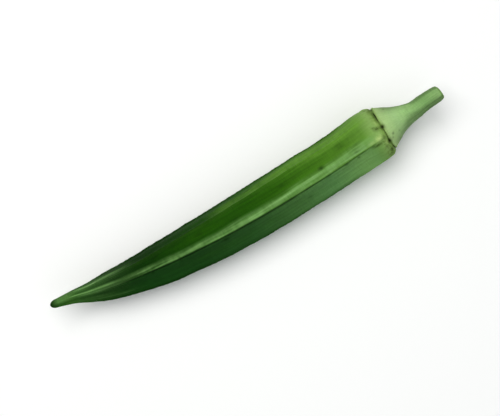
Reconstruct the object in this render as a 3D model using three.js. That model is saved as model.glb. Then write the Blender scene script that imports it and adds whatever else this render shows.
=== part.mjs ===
// A fresh okra pod with its stalk, picked whole and lying on its side.
//
// The pod grew as one piece, so it is one closed solid: a six-ridged capsule that tapers to a beak,
// a smooth collar at its shoulder, the scar left by the calyx, the cone of the receptacle, and the stalk
// with its cut end. Millimetres, +Z up. +X runs from the beak to the stalk, +Y is the hollow side of the
// bow, and the origin is on the surface the pod lies on, under the middle of its bounding box.

import * as THREE from "three";

// Overall sizes. Distances along the pod are measured on its chord, from the beak's tip.
const POD_LENGTH = 139.6;
const SHOULDER_AT = 114.5;
const SCAR_AT = 118.5;
const CUT_HALF_WIDTH = 2.3;
const BOX_MIDDLE_X = 69.9;
const BOX_MIDDLE_Y = -3.36;

// The bow of the pod, seen from above: [distance, sideways place of the middle].
const BOW = [
  [0, -0.6],
  [7.8, -1.75],
  [12.6, -2.85],
  [18, -3.85],
  [24, -4.65],
  [32, -5.35],
  [44, -5.8],
  [56, -5.8],
  [66, -5.5],
  [76, -5.0],
  [90, -4.05],
  [100, -3.35],
  [108, -2.5],
  [SHOULDER_AT, -1.75],
  [119, -1.2],
  [124, -0.95],
  [129, -0.85],
  [134, -0.1],
  [POD_LENGTH, 0.4],
];

// The outline: [distance, half width across the ridges].
const OUTLINE = [
  [2.2, 1.4],
  [7.8, 2.2],
  [12.6, 3.15],
  [17.4, 4.25],
  [22.2, 5.0],
  [27, 5.6],
  [36.6, 6.75],
  [46, 7.5],
  [55, 8.05],
  [66, 8.4],
  [80, 8.6],
  [92, 8.6],
  [101, 8.5],
  [108, 8.65],
  [112.5, 8.95],
  [SHOULDER_AT, 9.0],
  [116.6, 8.7],
  [117.7, 8.2],
  [SCAR_AT, 7.65],
  [119.6, 7.05],
  [121.7, 5.9],
  [124, 4.6],
  [127.4, 3.4],
  [130, 2.9],
  [134.8, 2.65],
  [137.6, 2.6],
  [POD_LENGTH, CUT_HALF_WIDTH],
];
const BEAK_ROUND = 2.2;

// The six ridges. Angles are round the pod in degrees, from +Y towards +Z, at the shoulder and at the beak.
const RIDGES = [
  { shoulder: -12, beak: -8, height: 0.3 },
  { shoulder: 47, beak: 52, height: 0.3 },
  { shoulder: 105.5, beak: 92, height: 0.45 },
  { shoulder: 165, beak: 160, height: 0.3 },
  { shoulder: 238, beak: 234, height: 0.35 },
  { shoulder: 301, beak: 298, height: 0.35 },
];
const MEAN_RIDGE_HEIGHT = 0.32;
const RIDGE_HALF_WIDTH = 0.75;
const FACE_HOLLOW = 0.22;
// Ridges turn from their beak angle to their shoulder angle by this distance.
const RIDGES_SETTLED_AT = 92;
// Ridges and hollows shrink with the pod where it is narrower than this.
const FULL_RELIEF_HALF_WIDTH = 7;
// Seen from above, the outermost ridges lie a little round from the sides and reach this share of a radius.
const WIDEST_RIDGE = 0.972;

// How strongly the ridges show: [distance, share of the full six-sided form].
const RIDGED = [
  [0, 0.35],
  [8, 0.8],
  [20, 1],
  [104, 1],
  [111, 0.78],
  [116, 0.32],
  [SCAR_AT, 0.16],
  [124, 0],
  [POD_LENGTH, 0],
];

// Fine ribs between the ridges, which show only towards the beak.
const FINE_RIBS = 3;
const FINE_RIB_HEIGHT = 0.1;
const FINE_RIBS_FADE = [14, 48];

// The scar is a fine groove that waves a little round the pod, with a warty collar below it.
const SCAR_DEPTH = 0.35;
const SCAR_HALF_WIDTH = 0.28;
const SCAR_WAVE_REACH = 5;
const SCAR_WAVES = [
  { count: 2, height: 0.22, turn: 0.6 },
  { count: 5, height: 0.13, turn: 0 },
];
const WARTS_AT = SCAR_AT - 1.7;
const WARTS_REACH = 1.2;
const WARTS = [
  { count: 7, height: 0.12, turn: 1 },
  { count: 11, height: 0.12, turn: 2 },
];

// How the pod lies: it touches down under its weight, and both ends lift clear.
const TOUCH_AT = 78;
const LIFT_RADIUS = 480;
const FLAT_DEPTH = 0.34;
const BEAK_DROOP = 1.8;
const BEAK_DROOP_REACH = 50;
const STALK_RISE = 0.6;
const LEVEL_FROM = 38;
const LEVEL_SOFTNESS = 4;
const LEVEL_TO = 104;

// The stalk's cut end: a flat face with a small bevel, sloped a little.
const CUT_BEVEL = 0.4;
const CUT_SLOPE = 0.16;

const toRadians = THREE.MathUtils.degToRad;
const mix = THREE.MathUtils.lerp;
const smoothstep = THREE.MathUtils.smoothstep;
const bell = (distance, reach) => Math.exp(-((distance / reach) ** 2));
const wavesAt = (waves, angle) =>
  waves.reduce((sum, wave) => sum + wave.height * Math.sin(wave.count * angle + wave.turn), 0);

// Smooth curve through [x, value] points that never overshoots them.
function curveThrough(points) {
  const slopes = points.slice(1).map(([x, y], i) => (y - points[i][1]) / (x - points[i][0]));
  const tangents = points.map((_, i) => {
    if (i === 0) return slopes[0];
    if (i === points.length - 1) return slopes[i - 1];
    const [before, after] = [slopes[i - 1], slopes[i]];
    return before * after > 0 ? (2 * before * after) / (before + after) : 0;
  });
  return (x) => {
    const last = points.length - 2;
    let i = 0;
    while (i < last && x > points[i + 1][0]) i++;
    const [x0, y0] = points[i];
    const [x1, y1] = points[i + 1];
    const step = x1 - x0;
    const t = THREE.MathUtils.clamp((x - x0) / step, 0, 1);
    const back = 1 - t;
    return (
      y0 * (1 + 2 * t) * back * back +
      tangents[i] * step * t * back * back +
      y1 * t * t * (3 - 2 * t) -
      tangents[i + 1] * step * t * t * back
    );
  };
}

const bowAt = curveThrough(BOW);
const outlineAt = curveThrough(OUTLINE);
const ridgedAt = curveThrough(RIDGED);

// Half width, with the beak rounded off like the end of an ellipse.
function halfWidthAt(x) {
  if (x >= BEAK_ROUND) return outlineAt(x);
  const inward = 1 - x / BEAK_ROUND;
  return outlineAt(BEAK_ROUND) * Math.sqrt(Math.max(0, 1 - inward * inward));
}

function ridgeAngles(x) {
  const share = smoothstep(x, 0, RIDGES_SETTLED_AT);
  return RIDGES.map((ridge) => toRadians(mix(ridge.beak, ridge.shoulder, share)));
}

// Relief on the flat sides: a bead along each ridge, a hollow face, and fine ribs towards the beak.
function reliefAt(x, sector, across, gap, radius, size) {
  const next = (sector + 1) % RIDGES.length;
  const bead = (distance) => bell(distance, RIDGE_HALF_WIDTH * size);
  const crests =
    RIDGES[sector].height * bead(gap * across * radius) +
    RIDGES[next].height * bead(gap * (1 - across) * radius);
  const hollow = FACE_HOLLOW * Math.sin(Math.PI * across) ** 2;
  const ribsShow = 1 - smoothstep(x, ...FINE_RIBS_FADE);
  const ribs = FINE_RIB_HEIGHT * ribsShow * Math.cos(2 * Math.PI * FINE_RIBS * across);
  return size * (crests - MEAN_RIDGE_HEIGHT - hollow + ribs);
}

// Radius of the section at distance x. sector is the ridge before the point, and across is how far the
// point lies from that ridge (0) to the next one (1).
function sectionRadius(x, sector, across) {
  const angles = ridgeAngles(x);
  const next = (sector + 1) % RIDGES.length;
  const gap = (angles[next] - angles[sector] + 2 * Math.PI) % (2 * Math.PI);
  const angle = angles[sector] + gap * across;
  const halfWidth = halfWidthAt(x);
  const ridged = ridgedAt(x);

  const flatSided = Math.cos(gap / 2) / Math.cos(gap * (across - 0.5));
  const fullRadius = halfWidth / mix(1, WIDEST_RIDGE, ridged);
  let radius = fullRadius * mix(1, flatSided, ridged);
  const size = Math.min(1, halfWidth / FULL_RELIEF_HALF_WIDTH);
  radius += ridged * reliefAt(x, sector, across, gap, radius, size);
  radius -= SCAR_DEPTH * bell(x - SCAR_AT, SCAR_HALF_WIDTH);
  radius += bell(x - WARTS_AT, WARTS_REACH) * wavesAt(WARTS, angle);
  return { radius, angle };
}

// Height of the underside above the surface, before what lies below the surface is pressed flat.
function liftAt(x) {
  const away = x - TOUCH_AT;
  const bend = (away * away) / (2 * LIFT_RADIUS) - FLAT_DEPTH;
  const droop = BEAK_DROOP * (1 - smoothstep(x, 0, BEAK_DROOP_REACH));
  const rise = STALK_RISE * smoothstep(x, SCAR_AT, POD_LENGTH);
  return bend - droop + rise;
}

// How far the two ridges that the pod rests on reach below its middle.
function depthAt(x) {
  const resting = RIDGES.slice(-2).map((ridge) => {
    const down = -Math.sin(toRadians(ridge.shoulder));
    return down * (halfWidthAt(x) / WIDEST_RIDGE + ridge.height - MEAN_RIDGE_HEIGHT);
  });
  return Math.max(...resting);
}

// The middle of the pod. Its height follows the body's depth, and eases into a steady height towards the
// beak and past the shoulder.
function middleAt(x) {
  const followed = LEVEL_FROM + LEVEL_SOFTNESS * Math.log1p(Math.exp((x - LEVEL_FROM) / LEVEL_SOFTNESS));
  const level = depthAt(Math.min(followed, LEVEL_TO));
  return new THREE.Vector3(x - BOX_MIDDLE_X, bowAt(x) - BOX_MIDDLE_Y, level + liftAt(x));
}

// Distances at which sections are taken: close together where the form turns quickly.
const BEAK_STATIONS = [0.12, 0.5, 1.1, BEAK_ROUND, 3.8, 6, 8.5];
const BODY_SPAN = [11, 105];
const BODY_STEP = 2.8;
const SHOULDER_STATIONS = [106.5, 109, 111, 112.8, 114.2, 115.4, 116.4, 117.2];
const SCAR_STATIONS = [-0.55, -0.25, 0, 0.25, 0.6].map((offset) => SCAR_AT + offset);
const STALK_STATIONS = [120, 121.3, 122.6, 124.2, 126, 128, 130.5, 133, 135.4, 137.3, 138.5];

function stationList() {
  const stations = [...BEAK_STATIONS];
  for (let x = BODY_SPAN[0]; x < BODY_SPAN[1]; x += BODY_STEP) stations.push(x);
  stations.push(...SHOULDER_STATIONS, ...SCAR_STATIONS, ...STALK_STATIONS, POD_LENGTH - CUT_BEVEL);
  return stations;
}

// Where points are taken between two ridges: close to the crests, then across the face.
const ACROSS = [0, 0.055, 0.12, 0.22, 0.36, 0.5, 0.64, 0.78, 0.88, 0.945];

// Which way the pod runs at a distance along it, read from two places close together.
const SHORT_STEP = 0.2;
function directionAt(x) {
  return middleAt(x + SHORT_STEP).sub(middleAt(x - SHORT_STEP)).normalize();
}

// Point on the skin. The scar's wave moves whole sections a little along the pod, more on one side.
function skinPoint(x, sector, across) {
  const { radius, angle } = sectionRadius(x, sector, across);
  const wave = bell(x - SCAR_AT, SCAR_WAVE_REACH) * wavesAt(SCAR_WAVES, angle);
  const along = directionAt(x);
  const side = new THREE.Vector3(0, 0, 1).cross(along).normalize();
  const up = along.clone().cross(side);
  return middleAt(x)
    .addScaledVector(along, wave)
    .addScaledVector(side, radius * Math.cos(angle))
    .addScaledVector(up, radius * Math.sin(angle));
}

// The cut face: the last section drawn in by the bevel, every point on one sloped plane.
function cutFace() {
  const centre = middleAt(POD_LENGTH);
  const ring = ringAt(POD_LENGTH - CUT_BEVEL).map((point) => {
    point.lerp(centre, CUT_BEVEL / CUT_HALF_WIDTH);
    point.x = centre.x - CUT_SLOPE * (point.y - centre.y);
    return point;
  });
  return { ring, centre };
}

function ringAt(x) {
  const ring = [];
  for (let sector = 0; sector < RIDGES.length; sector++)
    for (const across of ACROSS) ring.push(skinPoint(x, sector, across));
  return ring;
}

// One closed skin: rings joined by quads, with a fan at the beak and one over the cut.
function podGeometry() {
  const rings = stationList().map(ringAt);
  const cut = cutFace();
  rings.push(cut.ring);
  const around = rings[0].length;
  const points = rings.flat();
  const beakTip = points.length;
  points.push(middleAt(0));
  const cutCentre = points.length;
  points.push(cut.centre);

  const faces = [];
  for (let row = 0; row < rings.length - 1; row++)
    for (let i = 0; i < around; i++) {
      const j = (i + 1) % around;
      const [a, b] = [row * around + i, row * around + j];
      const [c, d] = [a + around, b + around];
      faces.push(a, b, c, b, d, c);
    }
  const lastRow = (rings.length - 1) * around;
  for (let i = 0; i < around; i++) {
    const j = (i + 1) % around;
    faces.push(beakTip, j, i);
    faces.push(cutCentre, lastRow + i, lastRow + j);
  }

  for (const point of points) point.z = Math.max(point.z, 0);
  const geometry = new THREE.BufferGeometry().setFromPoints(points);
  geometry.setIndex(faces);
  geometry.computeVertexNormals();
  return geometry;
}

const podMaterial = new THREE.MeshStandardMaterial({ color: 0x4f7d2c, roughness: 0.5, metalness: 0 });
const pod = new THREE.Mesh(podGeometry(), podMaterial);
pod.name = "okra_pod";

const okra = new THREE.Group();
okra.add(pod);

export default okra;
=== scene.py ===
"""A fresh okra pod with its stalk, lying on its side on a pale table.

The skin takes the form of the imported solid, in a much finer mesh, and adds what grows on it: beads and
bristles on the ridges, veins, the bulges of the seeds, the scar, and the fibres of the cut end. Lengths are
millimetres until a mesh is made. Distances along the pod are measured on its chord from the beak's tip, and
angles go round the pod from +Y towards +Z.
"""

import math
from types import SimpleNamespace

import bpy
import numpy as np
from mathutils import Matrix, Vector


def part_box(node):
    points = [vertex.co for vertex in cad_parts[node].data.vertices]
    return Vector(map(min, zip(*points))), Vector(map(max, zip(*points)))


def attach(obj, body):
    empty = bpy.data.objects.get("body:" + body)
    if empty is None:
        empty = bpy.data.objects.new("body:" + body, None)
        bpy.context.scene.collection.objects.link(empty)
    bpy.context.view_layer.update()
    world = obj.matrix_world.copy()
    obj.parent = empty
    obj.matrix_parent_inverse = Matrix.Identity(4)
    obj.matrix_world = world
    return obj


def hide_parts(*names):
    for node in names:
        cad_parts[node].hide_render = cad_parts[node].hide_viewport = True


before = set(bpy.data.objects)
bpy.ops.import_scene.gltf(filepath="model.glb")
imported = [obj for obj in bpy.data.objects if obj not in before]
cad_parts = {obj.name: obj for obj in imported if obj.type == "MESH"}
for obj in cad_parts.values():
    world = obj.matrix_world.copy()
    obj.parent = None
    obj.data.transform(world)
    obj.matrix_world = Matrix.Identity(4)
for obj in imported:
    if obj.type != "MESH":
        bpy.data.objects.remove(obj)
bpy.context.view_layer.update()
MM = 0.001

# Overall sizes of the pod.
POD_LENGTH = 139.6
SHOULDER_AT = 114.5
SCAR_AT = 118.5
CUT_HALF_WIDTH = 2.3
BOX_MIDDLE_X = 69.9
BOX_MIDDLE_Y = -3.36

# The bow of the pod, seen from above: [distance, sideways place of the middle].
BOW = [
    [0, -0.6],
    [7.8, -1.75],
    [12.6, -2.85],
    [18, -3.85],
    [24, -4.65],
    [32, -5.35],
    [44, -5.8],
    [56, -5.8],
    [66, -5.5],
    [76, -5.0],
    [90, -4.05],
    [100, -3.35],
    [108, -2.5],
    [SHOULDER_AT, -1.75],
    [119, -1.2],
    [124, -0.95],
    [129, -0.85],
    [134, -0.1],
    [POD_LENGTH, 0.4],
]
# The outline: [distance, half width across the ridges].
OUTLINE = [
    [2.2, 1.4],
    [7.8, 2.2],
    [12.6, 3.15],
    [17.4, 4.25],
    [22.2, 5.0],
    [27, 5.6],
    [36.6, 6.75],
    [46, 7.5],
    [55, 8.05],
    [66, 8.4],
    [80, 8.6],
    [92, 8.6],
    [101, 8.5],
    [108, 8.65],
    [112.5, 8.95],
    [SHOULDER_AT, 9.0],
    [116.6, 8.7],
    [117.7, 8.2],
    [SCAR_AT, 7.65],
    [119.6, 7.05],
    [121.7, 5.9],
    [124, 4.6],
    [127.4, 3.4],
    [130, 2.9],
    [134.8, 2.65],
    [137.6, 2.6],
    [POD_LENGTH, CUT_HALF_WIDTH],
]
BEAK_ROUND = 2.2
# How strongly the ridges show: [distance, share of the full six-sided form].
RIDGED = [
    [0, 0.35],
    [8, 0.8],
    [20, 1],
    [104, 1],
    [111, 0.78],
    [116, 0.32],
    [SCAR_AT, 0.16],
    [124, 0],
    [POD_LENGTH, 0],
]
# The direction of the pod at a place is measured over this step to both sides.
SHORT_STEP = 0.2

# The six ridges, with their angles at the shoulder and the beak.
RIDGES = [
    {"shoulder": -12, "beak": -8, "height": 0.3},
    {"shoulder": 47, "beak": 52, "height": 0.3},
    {"shoulder": 105.5, "beak": 92, "height": 0.45},
    {"shoulder": 165, "beak": 160, "height": 0.3},
    {"shoulder": 238, "beak": 234, "height": 0.35},
    {"shoulder": 301, "beak": 298, "height": 0.35},
]
# How each ridge, and the face that follows it, grew. The six values of a line belong to the six ridges.
GROWTH = {
    # How far the bead lies before the fold, and the share of it that is left behind the beak.
    "lean": [0.1, 0.1, 0.55, 0.15, 0.3, 0.2],
    "kept": [1.0, 0.1, 1.0, 1.0, 1.0, 1.0],
    # How deep the fold past the crest is, and how dark the painted shade in it.
    "crease": [0.1, 0.04, 0.32, 0.12, 0.18, 0.12],
    # How pale the crest is, and how dark the painted shade on the ridge is at the sides of the pod.
    "line": [0.0, 0.0, 0.15, 0.0, 0.6, 0.6],
    "painted_edge_shade": [1.0, 0.0, 0.0, 0.8, 0.0, 0.0],
    # The pale band before the ridge: its strength, its width, its distance from the crest, where it starts,
    # how strongly it spreads over the crest near the shoulder, and how yellow its green is.
    "band": [0.2, 0.55, 0.95, 0.0, 0.7, 0.6],
    "band_width": [2.4, 6.0, 2.8, 2.4, 2.9, 2.9],
    "band_gap": [0.1, 0.02, 0.7, 0.1, 0.1, 0.1],
    "band_start": [30, 54, 22, 30, 30, 30],
    "band_over": [0.0, 0.9, 0.0, 0.0, 0.0, 0.0],
    "band_warmth": [0.0, 1.0, 0.0, 0.0, 0.0, 0.0],
    # The face after the ridge: how far it bulges, how the bulges of its seeds are shifted, how dark its
    # middle is and where that lies across it, and how much painted shade, a bluer green, it takes.
    "swell": [0.3, -0.2, -0.2, -0.2, -0.2, -0.2],
    "seed_shift": [0.0, 2.1, 4.4, 1.2, 3.3, 5.1],
    "deep": [0.0, 1.0, 0.3, 0.5, 0.6, 0.5],
    "deep_at": [0.5, 0.34, 0.5, 0.5, 0.5, 0.5],
    "painted_shade": [0.0, 0.0, 1.0, 0.8, 0.3, 0.0],
}
MEAN_RIDGE_HEIGHT = 0.32
RIDGE_HALF_WIDTH = 0.75
RIDGES_SETTLED_AT = 92
FULL_RELIEF_HALF_WIDTH = 7
WIDEST_RIDGE = 0.972

# How the pod lies.
TOUCH_AT = 78
LIFT_RADIUS = 480
FLAT_DEPTH = 0.34
BEAK_DROOP = 1.8
BEAK_DROOP_REACH = 50
STALK_RISE = 0.6
LEVEL_FROM = 38
LEVEL_SOFTNESS = 4
LEVEL_TO = 104

# The stalk's cut end.
CUT_BEVEL = 0.4
CUT_SLOPE = 0.16
CUT_RINGS = 14
FIBRE_COUNT = 17
FIBRE_BUNDLES = 5
FIBRE_HEIGHT = 0.06
FIBRE_RING_AT = 0.3
FIBRE_RING_WIDTH = 0.2
PITH_DEPTH = 0.12
PITH_SINKS = (0.45, 0.8)

# The mesh: where its rings start, how far apart they are along the pod, and how many points lie between two
# ridges.
FIRST_RING_AT = 0.05
RING_SPACING = [
    [0, 0.07],
    [3, 0.2],
    [11, 0.3],
    [104, 0.3],
    [112, 0.16],
    [116, 0.1],
    [121, 0.11],
    [125, 0.22],
    [POD_LENGTH, 0.22],
]
POINTS_A_FACE = 26
CREST_CROWDING = 0.4

# Where each thing shows along the pod: it starts, is full, begins to fade, and is gone.
SPANS = {
    # Painted shade on the ridges at the sides.
    "painted_edge_shade": (6, 20, 100, 112),
    # Painted shade in the creases past the crests.
    "crease": (14, 42, 112.5, 115),
    # Painted shade on the faces that turn away from the light.
    "painted_shade": (6, 26, 111, 117),
    "beak stripes": (3, 11, 13, 32),
    "beak tip": (0.5, 3, 5, 11),
    "seeds": (22, 40, 98, 110),
    "crest line": (30, 60, 104, 117),
    "deep": (30, 62, 70, 104),
    # Where the painted light on the side that faces the light shows.
    "painted lit side": (45, 80, 84, 110),
}
# Where each change along the pod begins and is complete.
CHANGES = {
    "ribs end": (14, 46),
    "beads sink": (16, 34),
    "fine ribs end": (24, 72),
    "bands widen": (66, 96),
    "bands spread": (82, 98),
    "creases fade": (84, 104),
    "fibres fade": (106, 115),
    "bands end": (112, 117),
    "cone begins": (SCAR_AT, SCAR_AT + 3),
    "stalk begins": (122, 128),
    "fibres return": (123, 130),
    "neck ends": (125, 131),
}
# Soft noises on the skin: the size of the bumps along the pod, the fewest and the most of them round it,
# and a seed.
RIPPLES = {
    "seed rows": (30, 0, 1, 5),
    "seed strength": (14, 0, 3, 6),
    "veins": (40, 34, 62, 7),
    "unevenness": (16, 0, 4, 8),
    "torn scar": (4, 9, 30, 9),
    "stalk ribs": (9, 1, 3, 10),
    "stalk bumps": (1.6, 3, 9, 11),
    "crest line": (9, 0, 6, 21),
    "band width": (26, 0, 3, 22),
    "band fibres": (25, 20, 50, 23),
    "band patches": (4, 0, 5, 29),
    "crease": (8, 0, 2, 24),
    "deep patches": (18, 0, 8, 25),
    "scar": (3, 3, 14, 26),
    "streaks": (45, 18, 60, 27),
    "beak stripes": (14, 4, 16, 28),
}
RIPPLE_WAVES = 28
# What ripples make uneven: its mean strength, and how far the ripples move it.
UNEVEN = {
    "seed strength": (0.6, 0.4),
    "torn scar": (1.0, 0.3),
    "crest line": (0.8, 0.3),
    "band width": (1.0, 0.1),
    "band fibres": (0.85, 0.25),
    "crease": (0.85, 0.2),
    "deep patches": (0.8, 0.25),
    "scar": (0.65, 0.4),
    "beak stripes": (0.85, 0.2),
}


def colour(red, green, blue):
    """A linear colour from the 0 to 255 values that a screen shows."""
    linear = [((c / 255 + 0.055) / 1.055) ** 2.4 if c > 10 else c / 255 / 12.92 for c in (red, green, blue)]
    return (*linear, 1.0)


def bell(distance, reach):
    """1 at no distance, and soon nearly 0 past its reach."""
    return np.exp(-((distance / reach) ** 2))


def smoothstep(x, low, high):
    """0 up to low, 1 from high on, and a soft rise between."""
    t = np.clip((x - low) / (high - low), 0, 1)
    return t * t * (3 - 2 * t)


def curve_through(points):
    """A smooth curve through [x, value] points that never overshoots them."""
    at, value = np.array(points, float).T
    slopes = np.diff(value) / np.diff(at)
    before, after = slopes[:-1], slopes[1:]
    level = before * after <= 0
    inner = np.where(level, 0, 2 * before * after / np.where(level, 1, before + after))
    tangents = np.concatenate([slopes[:1], inner, slopes[-1:]])

    def curve(x):
        i = np.clip(np.searchsorted(at, x) - 1, 0, len(at) - 2)
        step = at[i + 1] - at[i]
        t = np.clip((x - at[i]) / step, 0, 1)
        back = 1 - t
        start = (value[i] * (1 + 2 * t) + tangents[i] * step * t) * back * back
        end = (value[i + 1] * (3 - 2 * t) - tangents[i + 1] * step * back) * t * t
        return start + end

    return curve


bow_at = curve_through(BOW)
outline_at = curve_through(OUTLINE)
ridged_at = curve_through(RIDGED)
ring_spacing_at = curve_through(RING_SPACING)


def half_width_at(x):
    """Half width, with the beak rounded off like the end of an ellipse."""
    inward = np.clip(1 - x / BEAK_ROUND, 0, 1)
    return outline_at(np.maximum(x, BEAK_ROUND)) * np.sqrt(1 - inward * inward)


def ridge_values(name):
    return np.array([ridge[name] for ridge in RIDGES], float)


def growth_values(name):
    return np.array(GROWTH[name], float)


def depth_at(x):
    """How far the two ridges that the pod rests on reach below its middle."""
    down = -np.sin(np.radians(ridge_values("shoulder")[-2:]))
    crest = half_width_at(x)[..., None] / WIDEST_RIDGE + ridge_values("height")[-2:] - MEAN_RIDGE_HEIGHT
    return (down * crest).max(-1)


def middle_at(x):
    """The middle of the pod at each distance. It sags where it touches down, and both ends lift clear."""
    followed = LEVEL_FROM + LEVEL_SOFTNESS * np.logaddexp(0, (x - LEVEL_FROM) / LEVEL_SOFTNESS)
    level = depth_at(np.minimum(followed, LEVEL_TO))
    bend = (x - TOUCH_AT) ** 2 / (2 * LIFT_RADIUS) - FLAT_DEPTH
    droop = BEAK_DROOP * (1 - smoothstep(x, 0, BEAK_DROOP_REACH))
    rise = STALK_RISE * smoothstep(x, SCAR_AT, POD_LENGTH)
    return np.stack([x - BOX_MIDDLE_X, bow_at(x) - BOX_MIDDLE_Y, level + bend - droop + rise], -1)


def ring_places():
    """Distances of the mesh's rings, from just behind the beak's tip to the bevel of the cut."""
    places = [FIRST_RING_AT]
    while places[-1] < POD_LENGTH - CUT_BEVEL - ring_spacing_at(POD_LENGTH):
        places.append(places[-1] + float(ring_spacing_at(places[-1])))
    return np.array(places + [POD_LENGTH - CUT_BEVEL])


def ripples(skin, name):
    """Soft noise on the skin, about -1 to 1, that joins up round the pod."""
    length, fewest, most, seed = RIPPLES[name]
    rng = np.random.default_rng(seed)
    total = 0
    for _ in range(RIPPLE_WAVES):
        count = rng.integers(fewest, most + 1) * rng.choice([-1, 1])
        pitch = 2 * math.pi / length * rng.normal(0, 1)
        total = total + np.sin(pitch * skin.x + count * skin.angle + rng.uniform(0, 2 * math.pi))
    return total / math.sqrt(RIPPLE_WAVES)


def shows(skin, name):
    """How fully a thing shows at each ring, from 0 to 1."""
    start, full, fading, gone = SPANS[name]
    return smoothstep(skin.x, start, full) * (1 - smoothstep(skin.x, fading, gone))


def changed(skin, name):
    """How far a change along the pod has gone at each ring, from 0 to 1."""
    return smoothstep(skin.x, *CHANGES[name])


def uneven(skin, name):
    """The strength of something that ripples make uneven."""
    mean, amount = UNEVEN[name]
    return mean + amount * ripples(skin, name)


def turn_from(skin, degrees):
    """The angle round the pod from one side of it to each point, from -pi to pi."""
    return (skin.angle - math.radians(degrees) + math.pi) % (2 * math.pi) - math.pi


def unit(vectors):
    return vectors / np.linalg.norm(vectors, axis=-1, keepdims=True)


def skin_grid():
    """Rings along the pod and points round it, with what each point needs to know about its place."""
    x = ring_places()[:, None]
    faces = len(RIDGES)
    sector = np.repeat(np.arange(faces), POINTS_A_FACE)
    after = (sector + 1) % faces
    even = np.arange(POINTS_A_FACE) / POINTS_A_FACE
    across = np.tile(even - CREST_CROWDING * np.sin(2 * math.pi * even) / (2 * math.pi), faces) + 0 * x

    share = smoothstep(x, 0, RIDGES_SETTLED_AT)
    ridges = np.radians(ridge_values("beak") * (1 - share) + ridge_values("shoulder") * share)
    gap = (ridges[:, after] - ridges[:, sector]) % (2 * math.pi)
    half_width = half_width_at(x)
    ridged = ridged_at(x)
    flat_sided = np.cos(gap / 2) / np.cos(gap * (across - 0.5))
    radius = half_width / (1 - ridged + WIDEST_RIDGE * ridged) * (1 - ridged + flat_sided * ridged)
    past = gap * across * radius
    short = gap * (1 - across) * radius
    size = np.minimum(1, half_width / FULL_RELIEF_HALF_WIDTH)
    lean = growth_values("lean")
    return SimpleNamespace(
        x=x,
        sector=sector,
        after=after,
        across=across,
        angle=ridges[:, sector] + gap * across,
        radius=radius,
        past=past,
        short=short,
        past_bead=past + lean[sector] * size,
        short_of_bead=short - lean[after] * size,
        size=size,
        ridged=ridged,
    )


def beside_ridges(skin, values, width):
    """The value of each ridge, spread over a width to both sides of its bead."""
    before = values[..., skin.sector] * bell(skin.past_bead, width)
    return before + values[..., skin.after] * bell(skin.short_of_bead, width)


# Relief. The beak's ribs lie at these shares of a face: [share, half width, height].
BEAK_RIBS = [
    [0.0, 0.1, 0.9],
    [0.2, 0.05, 0.35],
    [0.55, 0.05, 0.25],
    [0.77, 0.07, 0.75],
    [1.0, 0.06, 0.6],
]
BEAK_RIB_HEIGHT = 0.16
MEAN_BEAK_RIB = 0.4
FINE_RIB_COUNT = 9
FINE_RIB_HEIGHT = 0.05
VEIN_HEIGHT = 0.022
SEED_SPACING = 5.6
SEED_BULGE = 0.07
SEED_WANDER = 0.9
UNEVEN_HEIGHT = 0.045
CREASE_PAST_CREST = 0.3
CREASE_HALF_WIDTH = 0.32

# The bristly bumps of a ridge. Steps, heights and lengths are drawn from ranges.
BRISTLE_SEED = 40
BRISTLES_FROM = 9
BRISTLES_TO = SHOULDER_AT - 6
BRISTLE_DRAWS = 70
BRISTLE_SPACING = 2.1
BRISTLE_STEPS = (0.3, 1.7)
BRISTLE_HEIGHT = 0.14
BRISTLE_HEIGHTS = (0.3, 1)
BRISTLE_LENGTHS = (0.25, 0.6)
BRISTLE_HALF_WIDTH = 0.26

# The scar, its warts and the stalk.
SCAR_DEPTH = 0.35
SCAR_HALF_WIDTH = 0.28
SCAR_LIP = 0.14
SCAR_LIP_AFTER = 2.2 * SCAR_HALF_WIDTH
SCAR_WAVE_REACH = 5
SCAR_WAVES = [
    {"count": 2, "height": 0.22, "turn": 0.6},
    {"count": 5, "height": 0.13, "turn": 0},
    {"count": 13, "height": 0.05, "turn": 2},
]
WARTS_AT = SCAR_AT - 1.7
WARTS_REACH = 1.2
WARTS = [
    {"count": 7, "height": 0.12, "turn": 1},
    {"count": 11, "height": 0.12, "turn": 2},
    {"count": 29, "height": 0.05, "turn": 0},
]
STALK_RIBS = 13
STALK_RIB_HEIGHT = 0.06
STALK_RIB_TWIST = 0.05
STALK_RIB_WAVER = 0.5
STALK_BUMP_HEIGHT = 0.03


def waves_at(waves, angle):
    return sum(wave["height"] * np.sin(wave["count"] * angle + wave["turn"]) for wave in waves)


def bristle_places(ridge):
    """Distances of the small bristly bumps on a ridge, at seeded random steps."""
    rng = np.random.default_rng(BRISTLE_SEED + ridge)
    steps = rng.uniform(*BRISTLE_STEPS, BRISTLE_DRAWS) * BRISTLE_SPACING
    places = BRISTLES_FROM + np.cumsum(steps)
    return places[places < BRISTLES_TO], rng


def bristle_profile(skin, ridge):
    """Height of the bumps along a ridge, for each ring."""
    places, rng = bristle_places(ridge)
    heights = rng.uniform(*BRISTLE_HEIGHTS, len(places))
    lengths = rng.uniform(*BRISTLE_LENGTHS, len(places))
    return (heights * bell(skin.x - places, lengths)).sum(1, keepdims=True)


def ridge_relief(skin):
    """Beads along the ridges with bristly bumps on them, and the fold beside each crest."""
    kept = growth_values("kept")
    heights = ridge_values("height") * (1 - changed(skin, "beads sink") * (1 - kept))
    relief = beside_ridges(skin, heights, RIDGE_HALF_WIDTH * skin.size)
    fold = bell(skin.past - CREASE_PAST_CREST * skin.size, CREASE_HALF_WIDTH * skin.size)
    relief -= growth_values("crease")[skin.sector] * fold
    bumps = np.hstack([bristle_profile(skin, ridge) for ridge in range(len(RIDGES))]) * kept
    return relief + BRISTLE_HEIGHT * beside_ridges(skin, bumps, BRISTLE_HALF_WIDTH)


def beak_ribs(skin):
    """How high the beak's ribs stand on each face, from 0 to about 1."""
    return sum(height * bell(skin.across - share, width) for share, width, height in BEAK_RIBS)


def fine_ribs(skin):
    """How high the fine ribs stand on each face, from 0 to 1."""
    return 0.5 + 0.5 * np.cos(2 * math.pi * FINE_RIB_COUNT * skin.across)


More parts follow.
